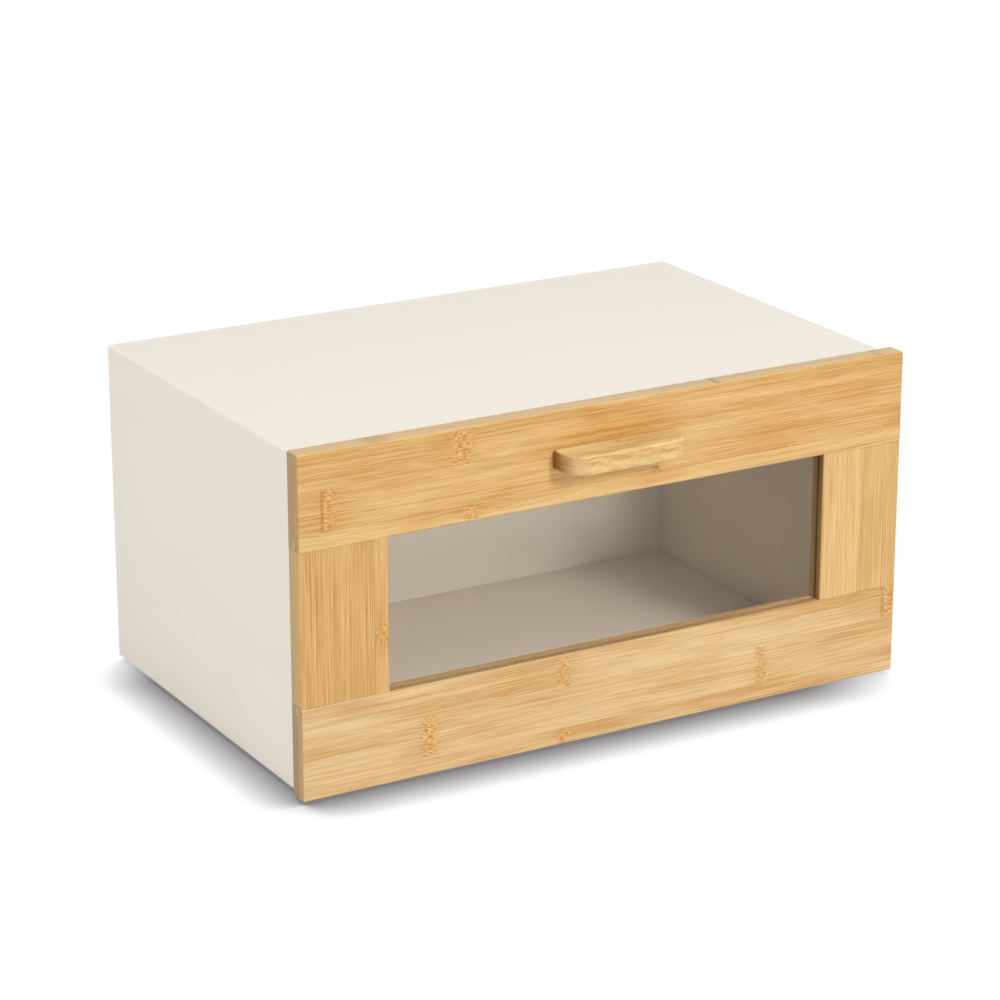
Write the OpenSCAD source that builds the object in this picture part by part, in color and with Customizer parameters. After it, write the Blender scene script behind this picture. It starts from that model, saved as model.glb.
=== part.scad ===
// Bread box with one drawer: a painted casing that is open at the front, and a
// drawer whose bamboo front frames a clear pane and overlaps the casing's edges.
// +Z is up, the front faces -Y, and the origin is on the table under the middle
// of the whole box. All sizes are in millimetres.

/* [Casing] */
// Width over the casing's sides
casing_w = 394; // [320:1:460]
// Height of the casing without its pads
casing_h = 198.5; // [170:0.5:240]
// Depth of the casing from its front edges to its back
casing_d = 245; // [200:1:300]
// Thickness of the casing's top, bottom and sides
board_t = 9; // [8:0.5:12]
// Thickness of the casing's back
back_t = 6; // [4:0.5:9]
// How far the back is let into the four boards round it
back_rebate = 5; // [3:0.5:6]
// Rounding of the casing's outer edges
casing_edge_r = 2; // [1:0.25:3]
// Width of the strip glued across each mitred corner
spline_w = 6; // [4:0.5:7]
// Thickness of that strip
spline_t = 2; // [1.5:0.1:2.5]
// Distance of the strip's middle from the corner inside, along each board
spline_set = 3.5; // [3:0.1:4]
// How far the strip stops short of the casing's front and of its back
spline_stop = 14; // [8:1:30]

/* [Pads] */
// Diameter of the round pads under the casing
pad_dia = 18; // [12:1:26]
// Height of the pads, which keeps the drawer front off the table
pad_h = 2; // [1.5:0.25:4]
// Distance of a pad's middle from the casing's edges
pad_inset = 22; // [16:1:40]

/* [Drawer front] */
// Thickness of the bamboo frame
front_t = 12; // [11:0.5:16]
// How far the front stands past each side of the casing
front_side_lap = 3; // [1:0.5:6]
// How far the front stands above the casing's top
front_top_lap = 2.5; // [0.5:0.5:6]
// Height of the top and of the bottom rail
rail_h = 55; // [45:1:65]
// Width of the left and of the right stile
stile_w = 55; // [45:1:70]
// Rounding of the front's outer edges
front_edge_r = 1; // [0.5:0.25:2]
// Chamfer round the window's front edges
window_chamfer = 0.6; // [0.3:0.1:1.2]

/* [Window] */
// Thickness of the clear pane
pane_t = 3; // [2:0.5:4]
// Depth of the groove that holds the pane and the stiles' tongues
groove_depth = 6; // [5:0.5:8]
// Room left between the pane's edges and the groove's bottom
pane_room = 1; // [0.5:0.25:2]
// Play on each face of the pane in its groove
pane_play = 0.1; // [0.05:0.05:0.3]

/* [Handle] */
// Length of the handle along the rail
handle_w = 81; // [70:1:110]
// How far the handle stands out from the front
handle_d = 21; // [18:0.5:30]
// Thickness of the handle
handle_t = 12; // [10:0.5:18]
// Rounding of the handle's two front corners, seen from above
handle_corner_r = 14; // [8:0.5:16]
// Rounding of the handle's long edges
handle_edge_r = 2; // [1:0.25:4]
// Distance between the two screws that hold the handle
handle_screw_gap = 44; // [34:1:52]

/* [Drawer box] */
// Thickness of the drawer's sides and back
drawer_board_t = 9; // [8:0.5:12]
// Gap between each drawer side and the casing
drawer_side_gap = 2.5; // [1:0.25:4]
// Gap above the drawer sides
drawer_top_gap = 3.5; // [2:0.5:20]
// Gap between the drawer's back and the casing's back when it is shut
drawer_back_gap = 17; // [3:1:40]
// Thickness of the drawer's bottom
bottom_t = 3; // [2.5:0.5:5]
// How far the bottom is held off the casing's floor
bottom_lift = 0.5; // [0.3:0.1:1.5]
// Width of the ledge in the sides that the bottom fits into
bottom_ledge = 4.5; // [4:0.5:5]
// How far the bottom reaches into the bottom rail
bottom_tongue = 4; // [2:0.5:5]
// How far the drawer's back is let into the sides
back_housing = 3; // [2:0.5:4]

/* [Fasteners] */
// Diameter of the dowels between the sides and the front
dowel_dia = 6; // [5:0.5:6.5]
// Length of those dowels
dowel_l = 24; // [18:1:30]
// How far the dowels reach into the front
dowel_in_front = 7; // [5:0.5:8]
// Distance of the outer dowels from the drawer sides' upper and lower edges
dowel_inset = 20; // [15:1:30]
// Shank diameter of the handle's and the drawer sides' screws
screw_dia = 3.5; // [3:0.1:4]
// Head diameter of those screws
screw_head_dia = 7; // [6:0.1:7.5]
// Length of the handle's screws
handle_screw_l = 25; // [20:1:28]
// Length of the screws through the drawer's sides
side_screw_l = 30; // [20:1:35]
// Distance of the outer side screws from the drawer back's upper and lower edges
side_screw_inset = 25; // [15:1:40]
// Shank diameter of the screws in the drawer's bottom
bottom_screw_dia = 2.5; // [2:0.1:3]
// Head diameter of those screws
bottom_screw_head_dia = 5; // [4:0.1:5.5]
// Length of those screws
bottom_screw_l = 14; // [10:1:20]
// Distance of the outer bottom screws from the drawer's front and from its sides
bottom_screw_inset = 30; // [20:1:60]

/* [Hidden] */
$fn = 64;

cream = "#EFE8DB";
bamboo = "#DDB57E";
glue_gap = 0.1;       // room for glue round strips, tongues, dowels and screws
over = 1;             // how far a cutter runs past the surface that it opens
far = 10;             // how far a mitre wedge runs past the casing's outside
recess_depth = 1.2;   // depth of the cross in a screw's head
recess_width = 0.9;   // width of one arm of that cross
row_count = 3;        // screws or dowels in one row

// Places along the depth, from the handle's front to the casing's back
total_d = handle_d + front_t + casing_d;
front_y = handle_d - total_d / 2;
casing_y = front_y + front_t;

// The casing stands on its pads, and the front's lower edge is level with its underside
casing_z = pad_h;
floor_z = casing_z + board_t;

front_w = casing_w + 2 * front_side_lap;
front_h = casing_h + front_top_lap;
window_w = front_w - 2 * stile_w;
window_h = front_h - 2 * rail_h;
groove_t = pane_t + 2 * pane_play;
groove_y = front_y + (front_t - groove_t) / 2;
handle_z = casing_z + front_h - rail_h / 2;

drawer_out_w = casing_w - 2 * board_t - 2 * drawer_side_gap;
drawer_in_w = drawer_out_w - 2 * drawer_board_t;
drawer_h = casing_h - 2 * board_t - drawer_top_gap;
drawer_d = casing_d - back_t - drawer_back_gap;
drawer_back_y = casing_y + drawer_d - drawer_board_t;
bottom_z = floor_z + bottom_lift;
bottom_top_z = bottom_z + bottom_t;
bottom_w = drawer_in_w + 2 * bottom_ledge - 2 * glue_gap;
side_mid_x = drawer_in_w / 2 + drawer_board_t / 2;

echo(outside = [front_w, total_d, casing_z + front_h]);
echo(drawer_inside = [drawer_in_w, drawer_d - drawer_board_t, floor_z + drawer_h - bottom_top_z]);

// Heights of a row of fasteners between two levels
function row(low, high) = [for (i = [0 : row_count - 1]) low + (high - low) * i / (row_count - 1)];

dowel_zs = row(floor_z + dowel_inset, floor_z + drawer_h - dowel_inset);
side_screw_zs = row(bottom_top_z + side_screw_inset, floor_z + drawer_h - side_screw_inset);
side_screw_y = drawer_back_y + drawer_board_t / 2;
bottom_screw_ys = row(casing_y + bottom_screw_inset, drawer_back_y - bottom_screw_inset);
bottom_screw_xs = row(-drawer_in_w / 2 + bottom_screw_inset, drawer_in_w / 2 - bottom_screw_inset);

// ---------------------------------------------------------------- shared forms

// Rectangle from the origin, with the corners rounded that ends names, counted
// anticlockwise from the one at the origin
module soft_rect(w, h, r, ends = [true, true, true, true]) {
    translate([r, 0]) square([w - 2 * r, h]);
    translate([0, r]) square([w, h - 2 * r]);
    for (i = [0 : 3])
        translate([i == 1 || i == 2 ? w - r : r, i > 1 ? h - r : r])
            if (ends[i]) circle(r);
            else square(2 * r, center = true);
}

// A profile drawn in X and Z, run along +Y from the origin for a length
module along_y(length) {
    translate([0, length, 0]) rotate([90, 0, 0]) linear_extrude(length) children();
}

// A profile drawn in Y and Z, run along +X from the origin for a length
module along_x(length) {
    rotate([90, 0, 90]) linear_extrude(length) children();
}

// Block w by d by h with its middle in X at the origin. Its four edges along Y are
// rounded, and so are the edges of its front face or of its back face.
module eased_block(w, d, h, r, front = false) {
    ends = front ? [true, true, false, false] : [false, false, true, true];
    side_ends = front ? [true, false, false, true] : [false, true, true, false];
    translate([-w / 2, 0, 0]) intersection() {
        along_y(d) soft_rect(w, h, r);
        linear_extrude(h) soft_rect(w, d, r, ends);
        along_x(w) soft_rect(d, h, r, side_ends);
    }
}

// Countersunk screw with its head's face at the origin and its point towards -Z
module screw(dia, head_dia, length) {
    head_h = (head_dia - dia) / 2;
    color("#B9B9B6") difference() {
        union() {
            translate([0, 0, -head_h]) cylinder(d1 = dia, d2 = head_dia, h = head_h);
            translate([0, 0, dia - length]) cylinder(d = dia, h = length - dia - head_h);
            translate([0, 0, -length]) cylinder(d1 = dia / 4, d2 = dia, h = dia);
        }
        for (turn = [0, 90])
            rotate(turn) translate([0, 0, over / 2 - recess_depth / 2])
                cube([head_dia / 2, recess_width, recess_depth + over], center = true);
    }
}

// The hole such a screw needs, opened past the face that its head is level with
module screw_hole(dia, head_dia, length) {
    hole_dia = dia + 2 * glue_gap;
    sink_dia = head_dia + 2 * glue_gap;
    sink_h = (sink_dia - hole_dia) / 2;
    translate([0, 0, -sink_h]) cylinder(d1 = hole_dia, d2 = sink_dia, h = sink_h);
    translate([0, 0, -length - glue_gap]) cylinder(d = hole_dia, h = length + glue_gap);
    cylinder(d = sink_dia, h = over);
}

// ---------------------------------------------------------------- casing

module casing_blank() {
    translate([0, casing_y, casing_z]) eased_block(casing_w, casing_d, casing_h, casing_edge_r);
}

// The part of the casing's section that belongs to the bottom board, cut at 45
// degrees where it meets the sides. Other boards turn or mirror it.
module mitre_wedge(long, thick) {
    along_y(casing_d + 2 * over)
        polygon([[-long / 2 - far, -far], [long / 2 + far, -far],
                 [long / 2 - thick, thick], [-long / 2 + thick, thick]]);
}

module bottom_wedge() {
    translate([0, casing_y - over, casing_z]) mitre_wedge(casing_w, board_t);
}

module top_wedge() {
    translate([0, 0, 2 * casing_z + casing_h]) mirror([0, 0, 1]) bottom_wedge();
}

module side_wedge() {
    translate([-casing_w / 2, casing_y - over, casing_z + casing_h / 2])
        rotate([0, 90, 0]) mitre_wedge(casing_h, board_t);
}

// Rebate round the inside of the back edges, which the back panel drops into
module back_seat() {
    w = casing_w - 2 * board_t + 2 * back_rebate;
    h = casing_h - 2 * board_t + 2 * back_rebate;
    translate([-w / 2, casing_y + casing_d - back_t, casing_z + board_t - back_rebate])
        cube([w, back_t + over, h]);
}

// Strips across the four mitres. Room is the glue's gap, and it is 0 for the strips.
module splines(room) {
    reach = [casing_w / 2 - board_t + spline_set, casing_h / 2 - board_t + spline_set];
    length = casing_d - back_t - 2 * spline_stop;
    for (x = [-1, 1], z = [-1, 1])
        translate([x * reach[0], casing_y + spline_stop - room, casing_z + casing_h / 2 + z * reach[1]])
            rotate([0, x * z * 45, 0])
                translate([-spline_w / 2 - room, 0, -spline_t / 2 - room])
                    cube([spline_w + 2 * room, length + 2 * room, spline_t + 2 * room]);
}

module casing_board() {
    color(cream) difference() {
        intersection() {
            casing_blank();
            children();
        }
        back_seat();
        splines(glue_gap);
    }
}

module casing_top() {
    casing_board() top_wedge();
}

module casing_bottom() {
    casing_board() bottom_wedge();
}

module casing_left_side() {
    casing_board() side_wedge();
}

module casing_right_side() {
    mirror([1, 0, 0]) casing_left_side();
}

module casing_back() {
    w = casing_w - 2 * board_t + 2 * back_rebate - 2 * glue_gap;
    h = casing_h - 2 * board_t + 2 * back_rebate - 2 * glue_gap;
    color(cream)
        translate([-w / 2, casing_y + casing_d - back_t, casing_z + board_t - back_rebate + glue_gap])
            cube([w, back_t, h]);
}

module corner_splines() {
    color("#C9A36B") splines(0);
}

module foot_pads() {
    for (x = [-1, 1], y = [pad_inset, casing_d - pad_inset])
        translate([x * (casing_w / 2 - pad_inset), casing_y + y, 0])
            color("#4A4A48") cylinder(d = pad_dia, h = pad_h);
}

// ---------------------------------------------------------------- drawer front

module front_blank() {
    translate([0, front_y, casing_z]) eased_block(front_w, front_t, front_h, front_edge_r, front = true);
}

// Everything of the front between two levels
module between(low, high) {
    translate([-front_w / 2 - over, front_y - over, casing_z + low])
        cube([front_w + 2 * over, front_t + 2 * over, high - low]);
}

// Square bar turned on its edge, which cuts the chamfer along one side of the window.
// It lies along X, with its middle at the origin.
module bevel_bar(length) {
    side = window_chamfer * sqrt(2);
    rotate([45, 0, 0]) cube([length, side, side], center = true);
}

// Chamfer of a rail; level is the height of the rail's edge at the window
module rail_bevel(level) {
    translate([0, front_y, casing_z + level]) bevel_bar(window_w);
}

// Groove in a rail's inner edge, end to end; level is the height of that edge's far side
module rail_groove(level) {
    translate([-front_w / 2 - over, groove_y, casing_z + level])
        cube([front_w + 2 * over, groove_t, groove_depth + over]);
}

module handle_screw_places() {
    for (x = [-1, 1])
        translate([x * handle_screw_gap / 2, casing_y, handle_z]) rotate([-90, 0, 0]) children();
}

// Dowels from the drawer's sides into the front. Room is 0 for the dowels themselves.
module dowels(room) {
    for (x = [-1, 1], z = dowel_zs)
        translate([x * side_mid_x, casing_y - dowel_in_front - room, z]) rotate([-90, 0, 0])
            cylinder(d = dowel_dia + 2 * room, h = dowel_l + 2 * room);
}

module front_top_rail() {
    color(bamboo) difference() {
        intersection() {
            front_blank();
            between(front_h - rail_h, front_h + over);
        }
        rail_groove(front_h - rail_h - over);
        rail_bevel(front_h - rail_h);
        dowels(glue_gap);
        handle_screw_places() screw_hole(screw_dia, screw_head_dia, handle_screw_l);
    }
}

// The bottom rail also holds the drawer bottom's front edge, in a groove in its back
module front_bottom_rail() {
    color(bamboo) difference() {
        intersection() {
            front_blank();
            between(-over, rail_h);
        }
        rail_groove(rail_h - groove_depth);
        rail_bevel(rail_h);
        dowels(glue_gap);
        translate([-bottom_w / 2 - glue_gap, casing_y - bottom_tongue - glue_gap, bottom_z - glue_gap])
            cube([bottom_w + 2 * glue_gap, bottom_tongue + glue_gap + over, bottom_t + 2 * glue_gap]);
    }
}

// A stile stands between the rails. Its tongues fill the rails' grooves, and its
// own groove takes the pane's side.
module front_left_stile() {
    tongue = groove_depth - glue_gap;
    color(bamboo) difference() {
        intersection() {
            front_blank();
            union() {
                between(rail_h, front_h - rail_h);
                translate([-front_w / 2 - over, groove_y + glue_gap, casing_z + rail_h - tongue])
                    cube([stile_w + over, groove_t - 2 * glue_gap, window_h + 2 * tongue]);
            }
            translate([-front_w / 2 - over, front_y - over, 0])
                cube([stile_w + over, front_t + 2 * over, casing_z + front_h + over]);
        }
        translate([-window_w / 2 - groove_depth, groove_y, casing_z])
            cube([groove_depth + over, groove_t, front_h]);
        translate([-window_w / 2, front_y, casing_z + front_h / 2])
            rotate([0, 90, 0]) bevel_bar(window_h);
        dowels(glue_gap);
    }
}

module front_right_stile() {
    mirror([1, 0, 0]) front_left_stile();
}

module window_pane() {
    hold = groove_depth - pane_room;
    color("#C8D2CE", 0.35)
        translate([-window_w / 2 - hold, groove_y + pane_play, casing_z + rail_h - hold])
            cube([window_w + 2 * hold, pane_t, window_h + 2 * hold]);
}

// ---------------------------------------------------------------- handle

// Section of the handle's rim, from its inside at the origin out to its edge at
// handle_corner_r, with both long edges rounded
module rim_section() {
    translate([0, -handle_t / 2])
        soft_rect(handle_corner_r, handle_t, handle_edge_r, [false, true, true, false]);
}

// The handle is one bar: a core behind, a straight rim in front and at each end,
// and a quarter turn of the same rim at both front corners
module handle() {
    core_w = handle_w - 2 * handle_corner_r;
    core_d = handle_d - handle_corner_r;
    color(bamboo) difference() {
        translate([0, front_y, handle_z]) {
            translate([-core_w / 2, -core_d, -handle_t / 2]) cube([core_w, core_d, handle_t]);
            translate([-core_w / 2, -core_d, 0]) rotate(-90) along_y(core_w) rim_section();
            for (side = [0, 1]) mirror([side, 0, 0]) translate([core_w / 2, -core_d, 0]) {
                along_y(core_d) rim_section();
                rotate(-90) rotate_extrude(angle = 90) rim_section();
            }
        }
        handle_screw_places() screw_hole(screw_dia, screw_head_dia, handle_screw_l);
    }
}

module handle_screws() {
    handle_screw_places() screw(screw_dia, screw_head_dia, handle_screw_l);
}

// ---------------------------------------------------------------- drawer box

module side_screw_places() {
    for (x = [-1, 1], z = side_screw_zs)
        translate([x * drawer_out_w / 2, side_screw_y, z]) rotate([0, x * 90, 0]) children();
}

module bottom_screw_places() {
    ledge_x = drawer_in_w / 2 + bottom_ledge / 2;
    for (x = [-1, 1], y = bottom_screw_ys)
        translate([x * ledge_x, y, bottom_z]) rotate([180, 0, 0]) children();
    for (x = bottom_screw_xs)
        translate([x, side_screw_y, bottom_z]) rotate([180, 0, 0]) children();
}

// Side of the drawer: a rebate along its lower edge takes the bottom, one at its
// rear end takes the back, and its lower edge runs on the casing's floor
module drawer_left_side() {
    ledge_h = bottom_lift + bottom_t + glue_gap;
    color(cream) difference() {
        translate([-drawer_out_w / 2, casing_y, floor_z])
            cube([drawer_board_t, drawer_d, drawer_h]);
        translate([-drawer_in_w / 2 - bottom_ledge, casing_y - over, floor_z - over])
            cube([bottom_ledge + over, drawer_d + 2 * over, ledge_h + over]);
        translate([-drawer_in_w / 2 - back_housing, drawer_back_y, floor_z - over])
            cube([back_housing + over, drawer_board_t + over, drawer_h + 2 * over]);
        dowels(glue_gap);
        side_screw_places() screw_hole(screw_dia, screw_head_dia, side_screw_l);
        bottom_screw_places() screw_hole(bottom_screw_dia, bottom_screw_head_dia, bottom_screw_l);
    }
}

module drawer_right_side() {
    mirror([1, 0, 0]) drawer_left_side();
}

// The back stands on the bottom and is screwed through the sides
module drawer_back() {
    w = drawer_in_w + 2 * back_housing - 2 * glue_gap;
    color(cream) difference() {
        translate([-w / 2, drawer_back_y, bottom_top_z])
            cube([w, drawer_board_t, floor_z + drawer_h - bottom_top_z]);
        side_screw_places() screw_hole(screw_dia, screw_head_dia, side_screw_l);
        bottom_screw_places() screw_hole(bottom_screw_dia, bottom_screw_head_dia, bottom_screw_l);
    }
}

module drawer_bottom() {
    color(cream) difference() {
        translate([-bottom_w / 2, casing_y - bottom_tongue, bottom_z])
            cube([bottom_w, drawer_d + bottom_tongue, bottom_t]);
        bottom_screw_places() screw_hole(bottom_screw_dia, bottom_screw_head_dia, bottom_screw_l);
    }
}

module front_dowels() {
    color("#D9B98A") dowels(0);
}

module side_screws() {
    side_screw_places() screw(screw_dia, screw_head_dia, side_screw_l);
}

module bottom_screws() {
    bottom_screw_places() screw(bottom_screw_dia, bottom_screw_head_dia, bottom_screw_l);
}

casing_top();
casing_bottom();
casing_left_side();
casing_right_side();
casing_back();
corner_splines();
foot_pads();
drawer_left_side();
drawer_right_side();
drawer_back();
drawer_bottom();
front_top_rail();
front_bottom_rail();
front_left_stile();
front_right_stile();
window_pane();
handle();
handle_screws();
front_dowels();
side_screws();
bottom_screws();
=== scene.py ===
# %% [markdown]
# # A bread box with a bamboo drawer front
# The real object is a painted box, open at the front, with one drawer in it. The
# drawer's front is a frame of bamboo boards round a clear pane. Its boards are
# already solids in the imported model, so this lesson is mostly about finishes: how
# bamboo, satin paint, glass, steel and rubber are made from nodes alone, and how a
# studio photograph's camera and light are set up again in Blender.

# %% Load the frame
import math

import bpy
import numpy as np
from mathutils import Matrix, Vector


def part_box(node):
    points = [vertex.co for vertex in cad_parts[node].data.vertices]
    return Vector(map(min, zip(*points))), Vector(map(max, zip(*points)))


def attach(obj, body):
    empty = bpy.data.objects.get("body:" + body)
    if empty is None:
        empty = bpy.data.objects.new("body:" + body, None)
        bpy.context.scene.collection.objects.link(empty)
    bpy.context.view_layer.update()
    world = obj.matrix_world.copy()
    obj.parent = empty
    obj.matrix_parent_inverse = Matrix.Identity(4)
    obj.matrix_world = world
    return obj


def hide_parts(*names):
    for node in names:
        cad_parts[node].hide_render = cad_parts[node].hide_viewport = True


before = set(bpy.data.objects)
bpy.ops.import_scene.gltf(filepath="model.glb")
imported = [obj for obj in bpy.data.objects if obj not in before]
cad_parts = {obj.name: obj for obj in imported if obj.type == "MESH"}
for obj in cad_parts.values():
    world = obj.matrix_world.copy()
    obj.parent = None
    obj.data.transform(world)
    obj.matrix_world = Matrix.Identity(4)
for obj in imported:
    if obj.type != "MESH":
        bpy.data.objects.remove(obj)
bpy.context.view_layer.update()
MM = 0.001

# %% [markdown]
# ## The camera
# The photograph's straight edges meet at vanishing points, and they fix the lens and
# the place that it was taken from. The result is a long lens, 3.3 times the width of
# the picture, from the front left and a little above. A long lens is what a studio
# uses so that a box doesn't look pulled apart. No shift is needed. Places are in
# metres and angles in degrees.

# %% Camera
PICTURE = 1000
FOCAL_PX = 3390
SENSOR_MM = 36
NEAR_CLIP, FAR_CLIP = 0.05, 50
CAMERA_AT = Vector((-0.9671, -1.6606, 0.7616))
CAMERA_AZ, CAMERA_EL = math.radians(30.048), math.radians(18.731)

camera_data = bpy.data.cameras.new("camera")
camera_data.sensor_width = SENSOR_MM
camera_data.lens = FOCAL_PX / PICTURE * SENSOR_MM
camera_data.clip_start, camera_data.clip_end = NEAR_CLIP, FAR_CLIP
camera = bpy.data.objects.new("camera", camera_data)
bpy.context.scene.collection.objects.link(camera)
bpy.context.scene.camera = camera
camera.location = CAMERA_AT
looking = Vector((math.sin(CAMERA_AZ) * math.cos(CAMERA_EL),
                  math.cos(CAMERA_AZ) * math.cos(CAMERA_EL), -math.sin(CAMERA_EL)))
camera.rotation_euler = looking.to_track_quat("-Z", "Y").to_euler()
bpy.context.scene.view_settings.view_transform = "Standard"
print("lens", round(camera_data.lens, 1), "mm")

# %% [markdown]
# ## Writing nodes in few words
# A material is a net of small nodes. Made one by one they fill pages, so this helper
# adds a node and joins its inputs in one call. A number, a colour or another node's
# output may go into any input.

# %% A helper for node trees
class Web:
    """One node tree. Each method adds a node, joins what goes in, and returns what comes out."""

    def __init__(self, tree):
        self.tree = tree

    def join(self, value, socket):
        """Links a node's output to a socket, or writes a value into it. None leaves it."""
        if isinstance(value, bpy.types.NodeSocket):
            self.tree.links.new(value, socket)
        elif value is not None:
            socket.default_value = value

    def add(self, kind, ins=(), out=0, **settings):
        """A node of one kind, its inputs given in order or by name."""
        node = self.tree.nodes.new("ShaderNode" + kind)
        for name, value in settings.items():
            setattr(node, name, value)
        pairs = ins.items() if isinstance(ins, dict) else enumerate(ins)
        for key, value in pairs:
            self.join(value, node.inputs[key])
        return node.outputs[out]

    def math(self, how, *values):
        """A sum, a product or another operation on numbers."""
        return self.add("Math", values, operation=how)

    def vector(self, x=0.0, y=0.0, z=0.0):
        return self.add("CombineXYZ", (x, y, z))

    def shift(self, vector, by):
        return self.add("VectorMath", (vector, by), operation="ADD")

    def axes(self, vector):
        """The three parts of a vector."""
        node = self.tree.nodes.new("ShaderNodeSeparateXYZ")
        self.join(vector, node.inputs[0])
        return node.outputs

    def noise(self, vector, detail=2.0, rough=0.5, scale=1.0, twist=0.0):
        """Cloudy noise between 0 and 1 with its middle near 0.5."""
        return self.add("TexNoise", {"Vector": vector, "Scale": scale, "Detail": detail,
                                     "Roughness": rough, "Distortion": twist})

    def span(self, value, low, high, to_low=0.0, to_high=1.0, ease="LINEAR"):
        """to_low where the value is low, to_high where it is high, and a fade between."""
        return self.add("MapRange", (value, low, high, to_low, to_high), interpolation_type=ease)

    def mix(self, share, first, second, how="MIX"):
        """The first colour at share 0, and the second at share 1."""
        node = self.tree.nodes.new("ShaderNodeMix")
        node.data_type, node.blend_type = "RGBA", how
        for value, socket in zip((share, first, second), (0, 6, 7)):
            self.join(value, node.inputs[socket])
        return node.outputs[2]

    def far_from(self, value, place):
        """The distance between two numbers."""
        return self.math("ABSOLUTE", self.math("SUBTRACT", value, place))


def ink(code):
    """Linear colour of a #RRGGBB code: ((c + 0.055) / 1.055) ** 2.4 for each part c."""
    parts = (int(code[i:i + 2], 16) / 255 for i in (1, 3, 5))
    return (*(((c + 0.055) / 1.055) ** 2.4 if c > 0.04045 else c / 12.92 for c in parts), 1.0)


def new_group(name, ins, outs):
    """A node group, its Web, its inputs and its outputs. ins are (name, kind, value)."""
    tree = bpy.data.node_groups.new(name, "ShaderNodeTree")
    for label, kind, value in ins:
        tree.interface.new_socket(label, in_out="INPUT",
                                  socket_type="NodeSocket" + kind).default_value = value
    for label, kind in outs:
        tree.interface.new_socket(label, in_out="OUTPUT", socket_type="NodeSocket" + kind)
    entry, leave = tree.nodes.new("NodeGroupInput"), tree.nodes.new("NodeGroupOutput")
    print("group", name)
    return Web(tree), entry.outputs, leave.inputs


def place_group(web, name, **ins):
    """Puts a node group into a tree and returns its outputs. Underscores stand for spaces."""
    node = web.tree.nodes.new("ShaderNodeGroup")
    node.node_tree = bpy.data.node_groups[name]
    for key, value in ins.items():
        web.join(value, node.inputs[key.replace("_", " ")])
    return node.outputs


def new_material(name):
    """An empty node material with a Principled shader, and its Web."""
    material = bpy.data.materials.new(name)
    material.use_nodes = True
    material.node_tree.nodes.clear()
    web = Web(material.node_tree)
    shader = material.node_tree.nodes.new("ShaderNodeBsdfPrincipled")
    leave = material.node_tree.nodes.new("ShaderNodeOutputMaterial")
    web.join(shader.outputs[0], leave.inputs[0])
    return material, web, shader, leave


def dress(node, material):
    """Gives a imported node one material."""
    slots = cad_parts[node].data.materials
    slots.clear()
    slots.append(material)


# %% [markdown]
# ## Bamboo, part one: the nodes of the cane
# A bamboo board is glued up from strips, 25 to 46 mm wide in this model, each split from
# a cane. Where the cane had a node, the strip shows a mottled band across its width, some
# with a fine dark ridge line at one side, and darker fibres beside it. Here a band is a
# mask round one place on a board, so that it can be put where the real board has one.
# Its ends are ragged by a wobble, and the halo of darker fibres reaches further out.
# The fades of band and halo are shares of the band's half length.

# %% Group: one cane node
WOBBLE_PER_MM, WOBBLE_MM = 0.7, 9.0
BAND_FADE, HALO_FADE = (1.15, 0.35), (3.5, 0.8)
SIDE_FADE_MM, RIDGE_FADE_MM = 1.2, (1.5, 0.2)
RIDGE_PLACE, RIDGE_WOBBLE = 0.95, 0.12

web, ins, outs = new_group(
    "Cane node",
    [("Place", "Vector", (0, 0, 0)), ("Along", "Float", 0), ("Across", "Float", 0),
     ("Half length", "Float", 5), ("Half width", "Float", 10), ("Strength", "Float", 1),
     ("Ridge strength", "Float", 0)],
    [("Band", "Float"), ("Ridge", "Float"), ("Halo", "Float")])
a, b, _ = web.axes(ins["Place"])
wobble = web.noise(web.vector(web.math("MULTIPLY", b, WOBBLE_PER_MM), ins["Along"], 0.0), detail=3)
wobble = web.math("MULTIPLY", web.math("SUBTRACT", wobble, 0.5), WOBBLE_MM)
straight = web.math("SUBTRACT", a, ins["Along"])
from_middle = web.math("ADD", straight, wobble)
along_share = web.math("DIVIDE", web.math("ABSOLUTE", from_middle), ins["Half length"])
inside = web.math("SUBTRACT", ins["Half width"], web.far_from(b, ins["Across"]))
across_mask = web.span(inside, 0.0, SIDE_FADE_MM, ease="SMOOTHSTEP")
masked = web.math("MULTIPLY", across_mask, ins["Strength"])
for label, fade in (("Band", BAND_FADE), ("Halo", HALO_FADE)):
    web.join(web.math("MULTIPLY", web.span(along_share, *fade, ease="SMOOTHSTEP"), masked),
             outs[label])
wavy = web.math("MULTIPLY_ADD", wobble, RIDGE_WOBBLE, straight)
from_ridge = web.math("ABSOLUTE", web.math("MULTIPLY_ADD", ins["Half length"], RIDGE_PLACE, wavy))
ridge = web.math("MULTIPLY", web.span(from_ridge, *RIDGE_FADE_MM, ease="SMOOTHSTEP"), across_mask)
web.join(web.math("MULTIPLY", ridge, ins["Ridge strength"]), outs["Ridge"])

# %% [markdown]
# ## Bamboo, part two: what it is mixed from
# The fibres are noise that is stretched along the board: broad soft streaks, lines about
# a millimetre wide, finer lines and short dashes, with wide clouds over them. A table
# says how fast each noise changes along, across and into the board, and short ones say
# how much of it bends the fibres and changes their tone, and where one look fades into
# the next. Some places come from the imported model: the window's edges, the pane's two
# faces, the front's middle and the handle's front and top.

# %% Places, noises and tints
def box_mm(node):
    """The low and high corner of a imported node's box, in mm."""
    return [np.array(corner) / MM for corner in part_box(node)]


WINDOW_LEFT, WINDOW_RIGHT = box_mm("front_left_stile")[1][0], box_mm("front_right_stile")[0][0]
WINDOW_LOW, WINDOW_HIGH = box_mm("front_bottom_rail")[1][2], box_mm("front_top_rail")[0][2]
PANE_FRONT, PANE_BACK = (corner[1] for corner in box_mm("window_pane"))
FAR_AWAY = 9999
FRONT_MIDDLE = sum(corner[1] for corner in box_mm("front_top_rail")) / 2
HANDLE_FRONT, HANDLE_TOP = box_mm("handle")[0][1], box_mm("handle")[1][2]

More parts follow.
